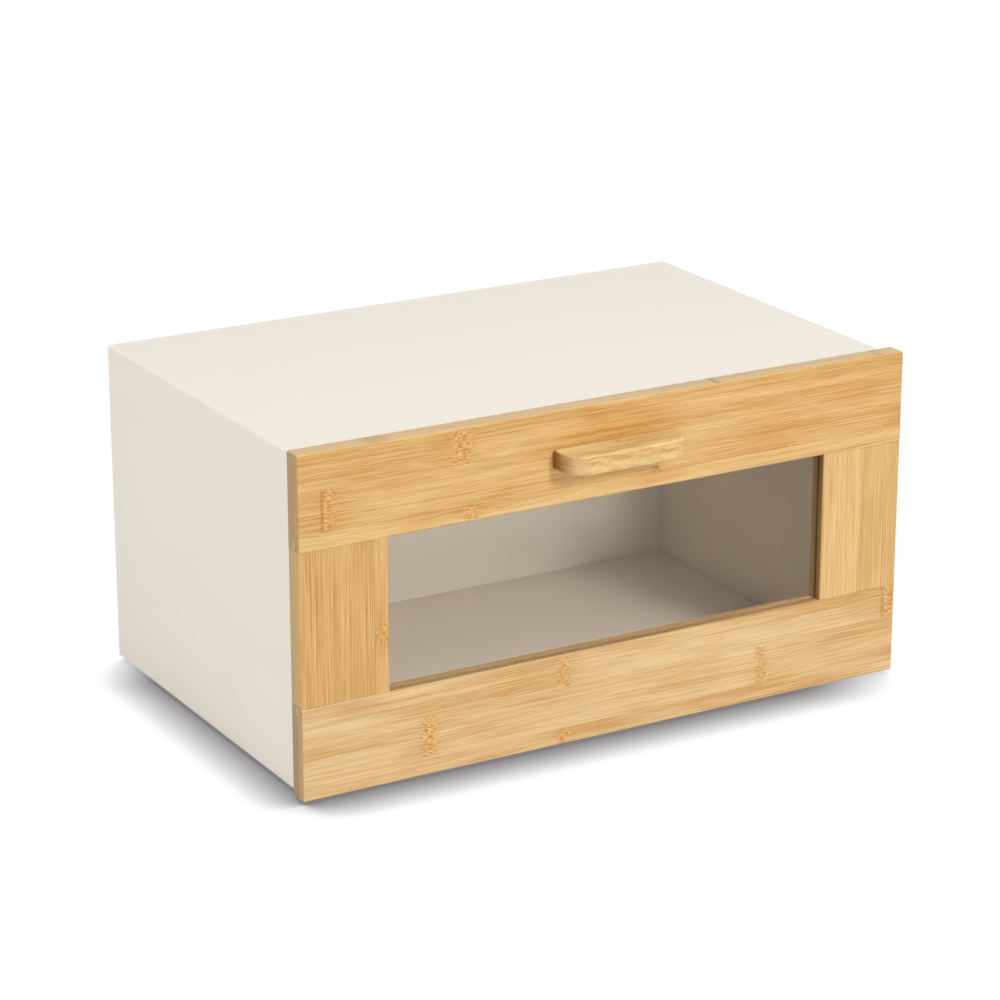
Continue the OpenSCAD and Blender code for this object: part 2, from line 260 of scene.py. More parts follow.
# Changes per mm along, across and into the board, then detail and roughness
NOISES = {
    "slow sway": (0.006, 0.02, 0.02, 1), "quick sway": (0.025, 0.12, 0.1, 1),
    "figured sway": (0.035, 0.11, 0.05, 2), "band sway": (0.35, 0.5, 0.4, 2),
    "broad": (0.003, 0.14, 0.14, 2), "clouds": (0.013, 0.06, 0.06, 2),
    "lines": (0.0055, 1.1, 1.0, 3, 0.65), "fine": (0.014, 3.0, 2.6, 2, 0.65),
    "dashes": (0.07, 2.7, 2.4, 2, 0.6), "strokes": (0.33, 1.7, 1.0, 2, 0.6),
    "layers": (0.012, 0.3, 1.1, 3, 0.65), "pepper": (0.4, 1.3, 1.3, 2, 0.75),
    "streaks": (0.07, 0.5, 0.55, 2, 0.6)}
SWAYS_MM = {"slow sway": 4.0, "quick sway": 0.45, "figured sway": 5.5, "band sway": 2.3}
TONES = {"broad": 0.9, "clouds": 1.3, "lines": 1.0, "fine": 1.75, "dashes": 1.0, "strip": 0.16,
         "halo": -0.12}
CONTRASTS = {"layers": 3.2, "pepper": 2.6, "plies": 0.5, "strokes in streaks": 0.35}
HEIGHTS = {"dashes": 0.5, "strokes": 1.2}
MIDDLE_TONE, LAYER_TONE = 0.5, 0.6
STRIP_STEP, SEED_STEP, PLY_STEP = 17.3, 5.71, 3.1

# Factor and addend: how the halo and broken fibres act on lines and dashes, and how the
# lines act on the gloss
HALO_ON_LINES, BROKEN_ON_LINES, BROKEN_ON_DASHES = (0.5, 1.0), (-0.4, 1.05), (0.8, 0.6)
LINES_ON_ROUGHNESS = (-0.35, 0.5)

# Where a look starts and ends, and its strength at both where that isn't 0 and 1
FADES = {
    "dark to middle": (0.1, 0.5), "middle to light": (0.5, 0.9), "lean": (40.0, 200.0),
    "strokes": (-0.09, 0.09), "ridge": (-0.12, 0.12, 0.75, 0.2), "seam": (0.49, 0.499, 0.0, 0.2),
    "groove": (3.0, 3.4, 0.72, 0.0), "spots": (-0.12, 0.16, 0.85, 0.25),
    "reveal": (7.0, 8.0, 0.62, 0.0), "square": (0.55, 1.0), "glue": (0.42, 0.49, 0.0, 0.45),
    "upper": (-0.16, 0.14), "lower": (-0.2, 0.1), "round": (0.02, 0.3, 0.85, 0.35),
    "on edge": (0.6, 0.9), "on end": (0.5, 0.85),
    "paler front": (PANE_FRONT - 1.0, PANE_BACK + 1.0, 0.2, -0.25),
    "greyer back": (PANE_FRONT, PANE_BACK),
    "handle's side": (HANDLE_FRONT + 2.0, HANDLE_FRONT + 18.0),
    "handle's upper half": (HANDLE_TOP - 6.7, HANDLE_TOP - 4.9),
    "handle's rim": (HANDLE_TOP - 1.9, HANDLE_TOP - 0.5, 0.0, 0.55),
    "wisps at its ends": (HANDLE_TOP - 7.0, HANDLE_TOP - 5.0, 0.0, 0.6)}
MIXES = {"stroke": 0.2, "tinted band": 0.22, "band": 0.95, "layer": 0.6, "dark end": 0.5}
TINTS = {part: ink(code) for part, code in {
    "stroke": "#FFDF8A", "band": "#D69A46", "ridge": "#AE6C24", "groove": "#664A22",
    "layer": "#A79A84", "spot": "#A26C3C", "window": "#7A5218", "end back": "#A39C86",
    "glue": "#7F5A2E", "pepper": "#C4934F", "rim": "#EFD3A0", "joint": "#8A5E30",
    "upper dark": "#C8914D", "upper light": "#E6C186", "lower dark": "#D4A665",
    "lower light": "#EACA93", "wisp dark": "#BD8340", "wisp light": "#E2BA7C"}.items()}
print("window", round(float(WINDOW_RIGHT - WINDOW_LEFT), 1), "x",
      round(float(WINDOW_HIGH - WINDOW_LOW), 1), "mm")

# %% [markdown]
# ## Bamboo, part three: fibres, strips and cut ends
# Each strip takes its own piece of the noise and its own tone. The same group also
# gives the edges, where the layers of the board show as bands, and the sawn ends,
# where the fibres are cut across and look like pepper. The handle is cut through its
# layers at a slant: its front has short wisps, paler below, and its round corners are
# peppered. Lengths are in millimetres. Along, across and depth are a, b and c.

# %% Group: bamboo
web, ins, outs = new_group(
    "Bamboo",
    [("Place", "Vector", (0, 0, 0)), ("Facing", "Vector", (0, 0, 1)), ("Strip", "Float", 25),
     ("Strip shift", "Float", 0), ("Ply", "Float", 6), ("Ply shift", "Float", 4),
     ("Seed", "Float", 0), ("Band", "Float", 0), ("Ridge", "Float", 0), ("Halo", "Float", 0),
     ("Line strength", "Float", 1), ("Figure", "Float", 0), ("Figured strip", "Float", 0),
     ("Figure tone", "Float", -0.2), ("Back tone", "Float", 0.5), ("Stipple", "Float", 0),
     ("Reveal", "Float", FAR_AWAY), ("Broken", "Float", 0.3), ("Fine strength", "Float", 1),
     ("Sway", "Float", 1), ("Lean", "Float", 0),
     ("Light", "Color", ink("#E3BF87")), ("Middle", "Color", ink("#D6AA6B")),
     ("Dark", "Color", ink("#C18945")), ("Edge", "Color", ink("#DCB782")),
     ("End", "Color", ink("#CDA66F")), ("Round", "Color", ink("#E0C08C")),
     ("Cane", "Color", ink("#B8742C"))],
    [("Color", "Color"), ("Roughness", "Float"), ("Height", "Float")])
a, b, c = web.axes(ins["Place"])
along_n, across_n, _ = web.axes(ins["Facing"])
strip_at = web.math("DIVIDE", web.math("ADD", b, ins["Strip shift"]), ins["Strip"])
strip_no = web.math("FLOOR", strip_at)
ply_at = web.math("DIVIDE", web.math("ADD", c, ins["Ply shift"]), ins["Ply"])
ply_no = web.math("FLOOR", ply_at)
own = web.math("MULTIPLY_ADD", strip_no, STRIP_STEP, web.math("MULTIPLY", ins["Seed"], SEED_STEP))
own_ply = web.math("MULTIPLY_ADD", ply_no, PLY_STEP, ins["Seed"])
strip_tone, ply_tone = (web.math("SUBTRACT", web.add("TexWhiteNoise", {"W": number},
                                                     noise_dimensions="1D"), 0.5)
                        for number in (own, own_ply))
figure = web.math("MULTIPLY", ins["Figure"],
                  web.math("COMPARE", strip_no, ins["Figured strip"], 0.1))


def stretched(kind, at=None, twist=0.0):
    """The named noise less 0.5, each of the board's lengths scaled by its own factor."""
    along, across, deep, detail, *rough = NOISES[kind]
    spot = web.vector(web.math("MULTIPLY_ADD", a, along, own),
                      web.math("MULTIPLY", at or b, across), web.math("MULTIPLY", c, deep))
    return web.math("SUBTRACT", web.noise(spot, detail, *rough, twist=twist), 0.5)


def add_share(total, part, share):
    """total + part x share, one node."""
    return web.math("MULTIPLY_ADD", part, share, total)


def from_half(value):
    """How far the fraction of a value is from 0.5: 0 in a strip's middle, 0.5 at its sides."""
    return web.far_from(web.math("FRACT", value), 0.5)


def fade(value, kind, ease="LINEAR"):
    """The named fade of a value."""
    return web.span(value, *FADES[kind], ease=ease)


def layered(kind):
    """The named noise with the tone of each layer of the board."""
    total = add_share(LAYER_TONE, stretched(kind), CONTRASTS[kind])
    return add_share(total, ply_tone, CONTRASTS["plies"])


# Where the fibres run: long slow sways, a tighter figure in some strips, and short
# bends inside the bands
sway = web.math("MULTIPLY", stretched("slow sway"), SWAYS_MM["slow sway"])
sway = add_share(sway, stretched("quick sway"), SWAYS_MM["quick sway"])
sway = web.math("MULTIPLY", sway, ins["Sway"])
for kind, mask in (("figured sway", figure), ("band sway", ins["Band"])):
    sway = add_share(sway, web.math("MULTIPLY", stretched(kind), mask), SWAYS_MM[kind])
bent = web.math("ADD", b, sway)
broad, lines, fine, dashes = (stretched(kind, at=bent)
                              for kind in ("broad", "lines", "fine", "dashes"))
clouds = stretched("clouds")

# How light each point is: the middle tone, and each part's share of it
strong = web.math("MULTIPLY", ins["Line strength"],
                  web.math("MULTIPLY_ADD", ins["Halo"], *HALO_ON_LINES))
whole = web.math("MULTIPLY", strong, web.math("MULTIPLY_ADD", ins["Broken"], *BROKEN_ON_LINES))
torn = web.math("MULTIPLY_ADD", ins["Broken"], *BROKEN_ON_DASHES)
tone = MIDDLE_TONE
for part, value in (("broad", web.math("MULTIPLY", broad, ins["Line strength"])),
                    ("clouds", web.math("MULTIPLY", clouds, ins["Line strength"])),
                    ("lines", web.math("MULTIPLY", lines, whole)),
                    ("fine", web.math("MULTIPLY", fine, ins["Fine strength"])),
                    ("dashes", web.math("MULTIPLY", dashes, torn)),
                    ("strip", strip_tone), ("halo", ins["Halo"])):
    tone = add_share(tone, value, TONES[part])
tone = add_share(tone, figure, ins["Figure tone"])
# Painted shade: a board's tone darkens towards its right end
tone = add_share(tone, fade(a, "lean"), ins["Lean"])
face = web.mix(fade(tone, "dark to middle"), ins["Dark"], ins["Middle"])
face = web.mix(fade(tone, "middle to light"), face, ins["Light"])

# The bands: short curved strokes, dark and light. Then the ridges, the seams between
# strips, and painted shade on the groove that shows at a rail's end
strokes = stretched("strokes", at=bent, twist=0.3)
stroke_light = web.mix(MIXES["stroke"], ins["Light"], TINTS["stroke"])
band_face = web.mix(fade(strokes, "strokes"), ins["Cane"], stroke_light)
band_face = web.mix(MIXES["tinted band"], band_face, TINTS["band"])
face = web.mix(web.math("MULTIPLY", ins["Band"], MIXES["band"]), face, band_face)
face = web.mix(web.math("MULTIPLY", ins["Ridge"], fade(strokes, "ridge")), face, TINTS["ridge"])
face = web.mix(fade(from_half(strip_at), "seam"), face, ins["Dark"])
face = web.mix(fade(web.far_from(c, FRONT_MIDDLE), "groove"), face, TINTS["groove"])

# Edges with their layers, paler at the front, and painted shade where they face into the window
layers = web.math("ADD", layered("layers"), fade(c, "paler front"))
edge_face = web.mix(layers, web.mix(MIXES["layer"], ins["Edge"], TINTS["layer"]), ins["Edge"])
edge_face = web.mix(web.math("MULTIPLY", ins["Band"], fade(strokes, "spots")), edge_face,
                    TINTS["spot"])
edge_face = web.mix(fade(web.far_from(b, ins["Reveal"]), "reveal"), edge_face, TINTS["window"])

# Sawn ends: pepper, darker glue lines and a greyer back. The handle's dark ends near the
# rail are partly end grain and partly painted shade
pepper = layered("pepper")
turn = web.math("ABSOLUTE", along_n)
square = web.math("MULTIPLY", fade(turn, "square"), fade(b, "handle's side"))
end_base = web.mix(square, ins["Round"], ins["End"])
at_back = web.math("MULTIPLY", fade(c, "greyer back"), ins["Back tone"])
end_base = web.mix(at_back, end_base, TINTS["end back"])
end_base = web.mix(fade(from_half(ply_at), "glue"), end_base, TINTS["glue"])
end_face = web.mix(pepper, web.mix(MIXES["dark end"], end_base, TINTS["glue"]), end_base)

# The handle: wisps on its front, darker above, pepper where it turns to its ends, and a
# painted highlight along its top edge
streaks = add_share(stretched("streaks", twist=0.6), strokes, CONTRASTS["strokes in streaks"])
upper = web.mix(fade(streaks, "upper"), TINTS["upper dark"], TINTS["upper light"])
lower = web.mix(fade(streaks, "lower"), TINTS["lower dark"], TINTS["lower light"])
flat = web.mix(fade(c, "handle's upper half"), lower, upper)
stippled = web.mix(pepper, TINTS["pepper"], ins["Round"])
stippled = web.mix(fade(turn, "round"), stippled, flat)
# Painted highlight: a paler tint along the handle's top edge
stippled = web.mix(fade(c, "handle's rim"), stippled, TINTS["rim"])
wisps = web.mix(fade(streaks, "upper"), TINTS["wisp dark"], TINTS["wisp light"])
edge_face = web.mix(ins["Stipple"], edge_face, stippled)
at_end = web.math("MULTIPLY", ins["Stipple"], fade(c, "wisps at its ends"))
end_face = web.mix(at_end, end_face, web.mix(square, wisps, end_face))

# Which of the three each point shows, by the way it faces
on_edge = fade(web.math("ABSOLUTE", across_n), "on edge", ease="SMOOTHSTEP")
on_end = fade(turn, "on end", ease="SMOOTHSTEP")
colour = web.mix(on_end, web.mix(on_edge, face, edge_face), end_face)
web.join(colour, outs["Color"])
web.join(web.math("MULTIPLY_ADD", lines, *LINES_ON_ROUGHNESS), outs["Roughness"])
height = add_share(web.math("ADD", lines, fine), dashes, HEIGHTS["dashes"])
height = add_share(height, web.math("MULTIPLY", strokes, ins["Band"]), HEIGHTS["strokes"])
web.join(height, outs["Height"])

# %% [markdown]
# ## Bamboo, part four: one material for each board
# A rail's fibres run left to right and a stile's run upwards, so each board reads its
# place in its own order of axes: along the fibres, across them, into the depth. The
# lists say where the real boards show cane nodes: along, across, half length, half
# width, strength, and the strength of the ridge line. Reveal is the edge that faces
# into the window, and joints are the places where a stile meets the rails.

# %% Materials: bamboo boards
NODE_KEYS = ("Along", "Across", "Half_length", "Half_width", "Strength", "Ridge_strength")
JOINT_FADE_MM, JOINT_SHARE = (0.15, 0.7), 0.3
BAMBOO_SHINE, BAMBOO_RELIEF, RELIEF_MM = 0.3, 0.3, 0.1


def bamboo_material(name, order, nodes=(), joints=(), **values):
    """Bamboo whose three board axes are the object's axes in the given order. joints are
    the places along the board where another one meets it, each with a fine dark line."""
    material, web, shader, _ = new_material(name)
    seen = web.tree.nodes.new("ShaderNodeTexCoord").outputs

    def in_order(parts):
        """A vector of the three parts, in the board's own order of axes."""
        return web.vector(*(parts["xyz".index(axis)] for axis in order))

    place = in_order([web.math("MULTIPLY", part, 1 / MM) for part in web.axes(seen["Object"])])
    facing = in_order(web.axes(seen["Normal"]))
    masks = {}
    for spot in nodes:
        outs = place_group(web, "Cane node", Place=place, **dict(zip(NODE_KEYS, spot)))
        for label in ("Band", "Ridge", "Halo"):
            masks[label] = (web.math("MAXIMUM", masks[label], outs[label])
                            if label in masks else outs[label])
    outs = place_group(web, "Bamboo", Place=place, Facing=facing, **masks, **values)
    colour = outs["Color"]
    for spot in joints:
        line = web.span(web.far_from(web.axes(place)[0], spot), *JOINT_FADE_MM, JOINT_SHARE, 0.0)
        colour = web.mix(line, colour, TINTS["joint"])
    web.join(colour, shader.inputs["Base Color"])
    web.join(outs["Roughness"], shader.inputs["Roughness"])
    web.join(BAMBOO_SHINE, shader.inputs["Specular IOR Level"])
    bump = web.add("Bump", {"Height": outs["Height"], "Strength": BAMBOO_RELIEF,
                            "Distance": RELIEF_MM * MM})
    web.join(bump, shader.inputs["Normal"])
    print("material", name, "cane nodes", len(nodes))
    return material


# The rails' tone is darkened towards their right ends: painted shade
BOARDS = {
    "front_top_rail": bamboo_material(
        "bamboo_top_rail", "xzy",
        [(-99, 192, 8, 10.4, 1.0), (-180.8, 169.5, 5, 12.4, 0.9, 1.0), (-93, 153, 5.5, 4.6, 1.0),
         (71, 206, 2.4, 4, 0.9), (184, 206, 2.4, 4, 0.6), (-149, 206, 9, 4, 0.5),
         (29, 158.6, 3.2, 2.6, 1.0, 0.8), (29.5, 158.8, 0.9, 1.9, 0.0, 1.2)],
        Strip_shift=18.0, Seed=3.0, Reveal=WINDOW_HIGH, Figure=0.7, Figured_strip=6.0,
        Figure_tone=0.22, Broken=0.55, Line_strength=0.68, Sway=0.75, Lean=-0.1),
    "front_bottom_rail": bamboo_material(
        "bamboo_bottom_rail", "xzy",
        [(-121, 25, 6.5, 12.7, 0.9), (-32.7, 46.5, 5.5, 10, 0.9), (-31.5, 6.5, 6, 5.7, 1.0),
         (103.5, 24, 4.5, 12.4, 0.85), (196, 47.5, 5, 10.6, 1.0, 0.7),
         (50.3, 23.1, 3.5, 1.1, 1.0)],
        Strip_shift=13.0, Seed=11.0, Reveal=WINDOW_LOW, Fine_strength=1.3, Lean=-0.12,
        Light=ink("#E5C899"), Middle=ink("#D9B682"), Dark=ink("#C9975C"), End=ink("#C5A57A")),
    "front_left_stile": bamboo_material(
        "bamboo_left_stile", "zxy", [(92.8, -149.2, 7.0, 4.6, 1.0)],
        joints=(WINDOW_LOW, WINDOW_HIGH), Strip=46.0, Strip_shift=154.0, Seed=23.0,
        Reveal=WINDOW_LEFT, Line_strength=0.5, Fine_strength=1.6, Sway=0.6, Edge=ink("#D6AE6A"),
        Light=ink("#E2BB81"), Middle=ink("#D6A96F"), Dark=ink("#C18F4D")),
    "front_right_stile": bamboo_material(
        "bamboo_right_stile", "zxy", joints=(WINDOW_LOW, WINDOW_HIGH), Strip=27.0,
        Strip_shift=17.0, Seed=31.0, Reveal=WINDOW_RIGHT, Line_strength=0.22, Figure=0.4,
        Figured_strip=7.0, Figure_tone=-0.5, Fine_strength=1.05, Sway=0.35, Edge=ink("#D6AE6A"),
        Light=ink("#E9C993"), Middle=ink("#DEB980"), Dark=ink("#C79656")),
    # The handle's dark End colour is partly end grain and partly painted shade, as its ends face
    # away from the lamps
    "handle": bamboo_material(
        "bamboo_handle", "xyz", [(0, -123, 4.5, 3.4, 0.9)],
        Strip=30.0, Ply_shift=4.5, Seed=41.0, Back_tone=0.0, Line_strength=1.1, Stipple=0.88,
        Broken=0.8, Light=ink("#E3C895"), Middle=ink("#D7B77F"), Dark=ink("#BA8E53"),
        Edge=ink("#E3C28A"), End=ink("#936127"), Round=ink("#E6C48C")),
}
for node, material in BOARDS.items():
    dress(node, material)

# %% [markdown]
# ## Satin paint
# The casing is fibreboard under a thick satin paint. From near, such paint has a very
# slight orange-peel skin and a faint cloudiness. The drawer is painted once, so it is
# more matt, and as it shows through the pane its cream is darker. Its bottom, back and
# sides get lighter and darker copies of that cream: painted light and shade for how the
# light falls inside the box. The casing's back is let into a rebate, and the shade in
# the seam round it is painted into its colour as a fine dark line.

# %% Group and materials: paint
# Noise of the paint: detail, roughness and changes per mm
PAINT_NOISES = {"cloud": (3, 0.55, 0.02), "speck": (2, 0.6, 0.45), "peel": (2, 0.5, 0.9)}
CLOUD_TONE, SPECK_TONE, CLOUD_GLOSS, SPECK_HEIGHT = 0.025, 0.012, 0.2, 0.5
PAINT_SHINE, PEEL_MM = 0.35, 0.05
SEAM_SHADE_FADE_MM, SEAM_SHADE_SHARE = (0.3, 0.9), 0.6

web, ins, outs = new_group(
    "Satin paint",
    [("Place", "Vector", (0, 0, 0)), ("Paint", "Color", (0.8, 0.8, 0.8, 1)),
     ("Gloss", "Float", 0.45), ("Seed", "Float", 0)],
    [("Color", "Color"), ("Roughness", "Float"), ("Height", "Float")])
own = web.shift(ins["Place"], web.vector(ins["Seed"], 0.0, 0.0))
cloud, speck, peel = (web.math("SUBTRACT", web.noise(own, *PAINT_NOISES[kind]), 0.5)
                      for kind in ("cloud", "speck", "peel"))
light = web.math("MULTIPLY_ADD", cloud, CLOUD_TONE, 1.0)
light = web.math("MULTIPLY_ADD", speck, SPECK_TONE, light)
web.join(web.mix(1.0, ins["Paint"], web.vector(light, light, light), "MULTIPLY"), outs["Color"])
web.join(web.math("MULTIPLY_ADD", cloud, CLOUD_GLOSS, ins["Gloss"]), outs["Roughness"])
web.join(web.math("MULTIPLY_ADD", speck, SPECK_HEIGHT, peel), outs["Height"])


def paint_material(name, colour, gloss, seed, relief, let_in=None):
    """Satin paint of one colour, over the object's own coordinates in millimetres. Round the
    node let_in, a panel in a rebate, the paint has a fine dark seam."""
    material, web, shader, _ = new_material(name)
    seen = web.add("TexCoord", out="Object")
    place = web.add("Mapping", {"Vector": seen, "Scale": (1 / MM, 1 / MM, 1 / MM)})
    outs = place_group(web, "Satin paint", Place=place, Paint=colour, Gloss=gloss, Seed=seed)
    colour = outs["Color"]
    if let_in:
        low, high = box_mm(let_in)
        x, _, z = web.axes(place)
        inside = [web.math("SUBTRACT", (high[axis] - low[axis]) / 2,
                           web.far_from(part, (low[axis] + high[axis]) / 2))
                  for axis, part in ((0, x), (2, z))]
        # Painted shade: the fine dark line round the let-in panel stands for the shade in its seam
        seam = web.span(web.math("MINIMUM", *inside), *SEAM_SHADE_FADE_MM, SEAM_SHADE_SHARE, 0.0)
        colour = web.mix(seam, colour, ink("#6E675B"))
    web.join(colour, shader.inputs["Base Color"])
    web.join(outs["Roughness"], shader.inputs["Roughness"])
    web.join(PAINT_SHINE, shader.inputs["Specular IOR Level"])
    if relief:
        bump = web.add("Bump", {"Height": outs["Height"], "Strength": relief,
                                "Distance": PEEL_MM * MM})
        web.join(bump, shader.inputs["Normal"])
    print("material", name)
    return material


CREAM, SATIN, SATIN_RELIEF, MATT = ink("#F0E8DC"), 0.5, 0.08, 0.6
casing_paint = paint_material("cream_paint", CREAM, SATIN, 0.0, SATIN_RELIEF)
PAINTS = {
    "casing_back": paint_material("cream_paint_back", CREAM, SATIN, 30.0, SATIN_RELIEF,
                                  let_in="casing_back"),
    # Painted light and shade: back, bottom and sides are lighter and darker copies of one cream
    "drawer_back": paint_material("inside_back_painted_light", ink("#D8D0C2"), MATT, 80.0, 0.0),
    "drawer_bottom": paint_material("inside_bottom_painted_light", ink("#DDD4C5"), MATT, 140.0, 0.0)}
inside_sides_lit_paint = paint_material("inside_sides_painted_light", ink("#E5D9C6"), MATT, 110.0, 0.0)
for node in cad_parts:
    if node.startswith("casing"):
        dress(node, PAINTS.get(node, casing_paint))
    elif node.startswith("drawer"):
        dress(node, PAINTS.get(node, inside_sides_lit_paint))

# %% [markdown]
# ## The pane
# Clear glass bends light, and a path tracer then has trouble sending lamp light
# through it. So for rays that look for a lamp the pane is plainly transparent, with a
# slight loss, and for every other ray it is glass.

# %% Material: pane
GLASS_TINT, SHADOW_TINT = (0.965, 0.96, 0.95, 1.0), (0.96, 0.95, 0.935, 1.0)
GLASS_IOR, SMEARS_PER_M, SMEAR_ROUGH = 1.47, 45, 0.004

pane_glass, web, shader, leave = new_material("clear_pane")
web.join(GLASS_TINT, shader.inputs["Base Color"])
web.join(1.0, shader.inputs["Transmission Weight"])
web.join(GLASS_IOR, shader.inputs["IOR"])
seen = web.add("TexCoord", out="Object")
smear = web.noise(seen, 3, 0.6, scale=SMEARS_PER_M)
web.join(web.span(smear, 0.45, 0.8, 0.0, SMEAR_ROUGH), shader.inputs["Roughness"])
clear = web.add("BsdfTransparent", (SHADOW_TINT,))
shadow_ray = web.add("LightPath", out="Is Shadow Ray")
web.join(web.add("MixShader", (shadow_ray, shader.outputs[0], clear)), leave.inputs[0])
dress("window_pane", pane_glass)

# %% [markdown]
# ## Steel, rubber and plain wood
# Small parts that show only when the drawer is out or the box is turned over: plated
# screws, rubber pads, and the pale wood of dowels and corner strips, which is the bamboo
# group again with no cane nodes.

# %% Materials: small parts
ROUGH_SPREAD, SMALL_RELIEF = 0.08, 0.4


def small_material(name, colour, rough, metal, per_metre, spread, bump_mm):
    """One colour with fine noise in its tone, its gloss and its relief."""
    material, web, shader, _ = new_material(name)
    seen = web.add("TexCoord", out="Object")
    grain = web.noise(seen, 4, 0.6, scale=per_metre)
    dark = tuple(part * (1 - spread) for part in colour[:3]) + (1.0,)
    web.join(web.mix(grain, dark, colour), shader.inputs["Base Color"])
    web.join(web.span(grain, 0.3, 0.7, rough - ROUGH_SPREAD, rough + ROUGH_SPREAD),
             shader.inputs["Roughness"])
    web.join(metal, shader.inputs["Metallic"])
    web.join(web.add("Bump", {"Height": grain, "Strength": SMALL_RELIEF, "Distance": bump_mm * MM}),
             shader.inputs["Normal"])
    print("material", name)
    return material


steel = small_material("plated_steel", ink("#C9C7C0"), rough=0.32, metal=1.0, per_metre=900,
                       spread=0.25, bump_mm=0.03)
rubber = small_material("pad_rubber", ink("#3A3936"), rough=0.75, metal=0.0, per_metre=1500,
                        spread=0.4, bump_mm=0.08)
pale_wood = bamboo_material("plain_wood", "yxz", Strip=40.0, Seed=57.0,
                            Light=ink("#E8CFA0"), Middle=ink("#DDBE8C"), Dark=ink("#C9A470"),
                            Edge=ink("#D8B988"), End=ink("#B99567"))
FINISHES = {"handle_screws": steel, "side_screws": steel, "bottom_screws": steel,
            "foot_pads": rubber, "front_dowels": pale_wood, "corner_splines": pale_wood}
for node, material in FINISHES.items():
    dress(node, material)

# %% [markdown]
# ## Surfaces of revolution
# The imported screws, dowels and pads are plain shapes. Finer ones stand for them here:
# threads that climb round the shank, cross recesses, flutes, and rounded rubber. Each
# is a grid of points in rows along the axis and columns round it, made by a formula in
# numpy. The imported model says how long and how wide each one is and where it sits.

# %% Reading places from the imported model
ROUNDED_TO = 3


def solids_of(node):
    """The low and high corner, in mm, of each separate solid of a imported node. Points in
    one place count as one. Then each edge hands on the lower number of its two ends,
    until every point of a solid has the same number."""
    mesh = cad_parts[node].data
    points = np.empty(3 * len(mesh.vertices))
    mesh.vertices.foreach_get("co", points)
    ends = np.empty(2 * len(mesh.edges), dtype=np.int32)
    mesh.edges.foreach_get("vertices", ends)
    points, same = np.unique(np.round(points.reshape(-1, 3) / MM, ROUNDED_TO), axis=0,
                             return_inverse=True)
    first, second = same.reshape(-1)[ends.reshape(-1, 2)].T
    number = np.arange(len(points))
    while (number[first] != number[second]).any():
        least = np.minimum(number[first], number[second])
        np.minimum.at(number, first, least)
        np.minimum.at(number, second, least)
    groups = [points[number == lowest] for lowest in np.unique(number)]
    return [(group.min(axis=0), group.max(axis=0)) for group in groups]


def seats_of(node, towards):
    """Length and width, in mm, of a node's solids along the unit vector that towards gives
    for a solid's centre, and a matrix for each one: its axis starts in the middle of the
    face that it points away from."""
    seats = []
    for low, high in solids_of(node):
        centre, size = (low + high) / 2, high - low
        axis = np.array(towards(centre))
        length, wide = size @ abs(axis), (size * (1 - abs(axis))).max()
        turn = Vector(axis).to_track_quat("Z", "Y").to_matrix().to_4x4()
        start = Vector((centre - axis * length / 2) * MM)
        seats.append(Matrix.Translation(start) @ turn)
    return length, wide, seats


# %% [markdown]
# ## From a grid to a mesh
# The grid's neighbours make faces of four corners, and a pole closes each end with
# triangles. One mesh holds all copies of a piece, each moved to its seat by a matrix.
# Edges sharper than 38 degrees stay sharp, and the rest is shaded smooth.

# %% Helpers for turned pieces
CREASE = math.radians(38)


def ring(columns):
    """The angles of a row of points."""
    return np.linspace(0, 2 * np.pi, columns, endpoint=False)[None, :]


def around(angle, r, z):
    """Points at the radius r and the height z, for every angle."""
    return np.stack([r * np.cos(angle), r * np.sin(angle), z + 0 * angle], axis=-1)


def turned(name, node, towards, shape, finish, body):
    """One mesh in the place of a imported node. shape(length, wide) gives a grid of (rows,
    columns, 3) points in mm with the axis along Z, its first and last rows closed by a
    pole each, and each solid of the node gets a copy."""
    length, wide, seats = seats_of(node, towards)
    grid = shape(length, wide)
    rows, columns, _ = grid.shape
    poles = [grid[0].mean(axis=0), grid[-1].mean(axis=0)]
    points = np.vstack([grid.reshape(-1, 3), poles])
    at = np.arange(rows * columns).reshape(rows, columns)
    beside = np.roll(at, -1, axis=1)
    sides = np.stack([at[:-1], beside[:-1], beside[1:], at[1:]], axis=-1).reshape(-1, 4)
    top = np.stack([np.full(columns, rows * columns), beside[0], at[0]], axis=-1)
    foot = np.stack([np.full(columns, rows * columns + 1), at[-1], beside[-1]], axis=-1)
    four = np.hstack([points * MM, np.ones((len(points), 1))])
    verts = np.vstack([(four @ np.array(seat).T)[:, :3] for seat in seats])
    steps = np.arange(len(seats)) * len(points)
    faces = [face for step in steps for part in (sides, top, foot)
             for face in (part + step).tolist()]
    mesh = bpy.data.meshes.new(name)
    mesh.from_pydata(verts.tolist(), [], faces)
    mesh.polygons.foreach_set("use_smooth", np.ones(len(faces), dtype=bool))
    mesh.set_sharp_from_angle(angle=CREASE)
    mesh.materials.append(finish)
    piece = bpy.data.objects.new(name, mesh)
    bpy.context.scene.collection.objects.link(piece)
    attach(piece, body)
    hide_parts(node)
    print(name, "copies", len(seats), "length", round(length, 2), "width", round(wide, 2))


# %% [markdown]
# ## Screws
# A wood screw is a cross recess in a flat face, a cone, a plain neck and a thread. The
# thread is a ridge whose place along the axis depends on the angle, so it climbs.

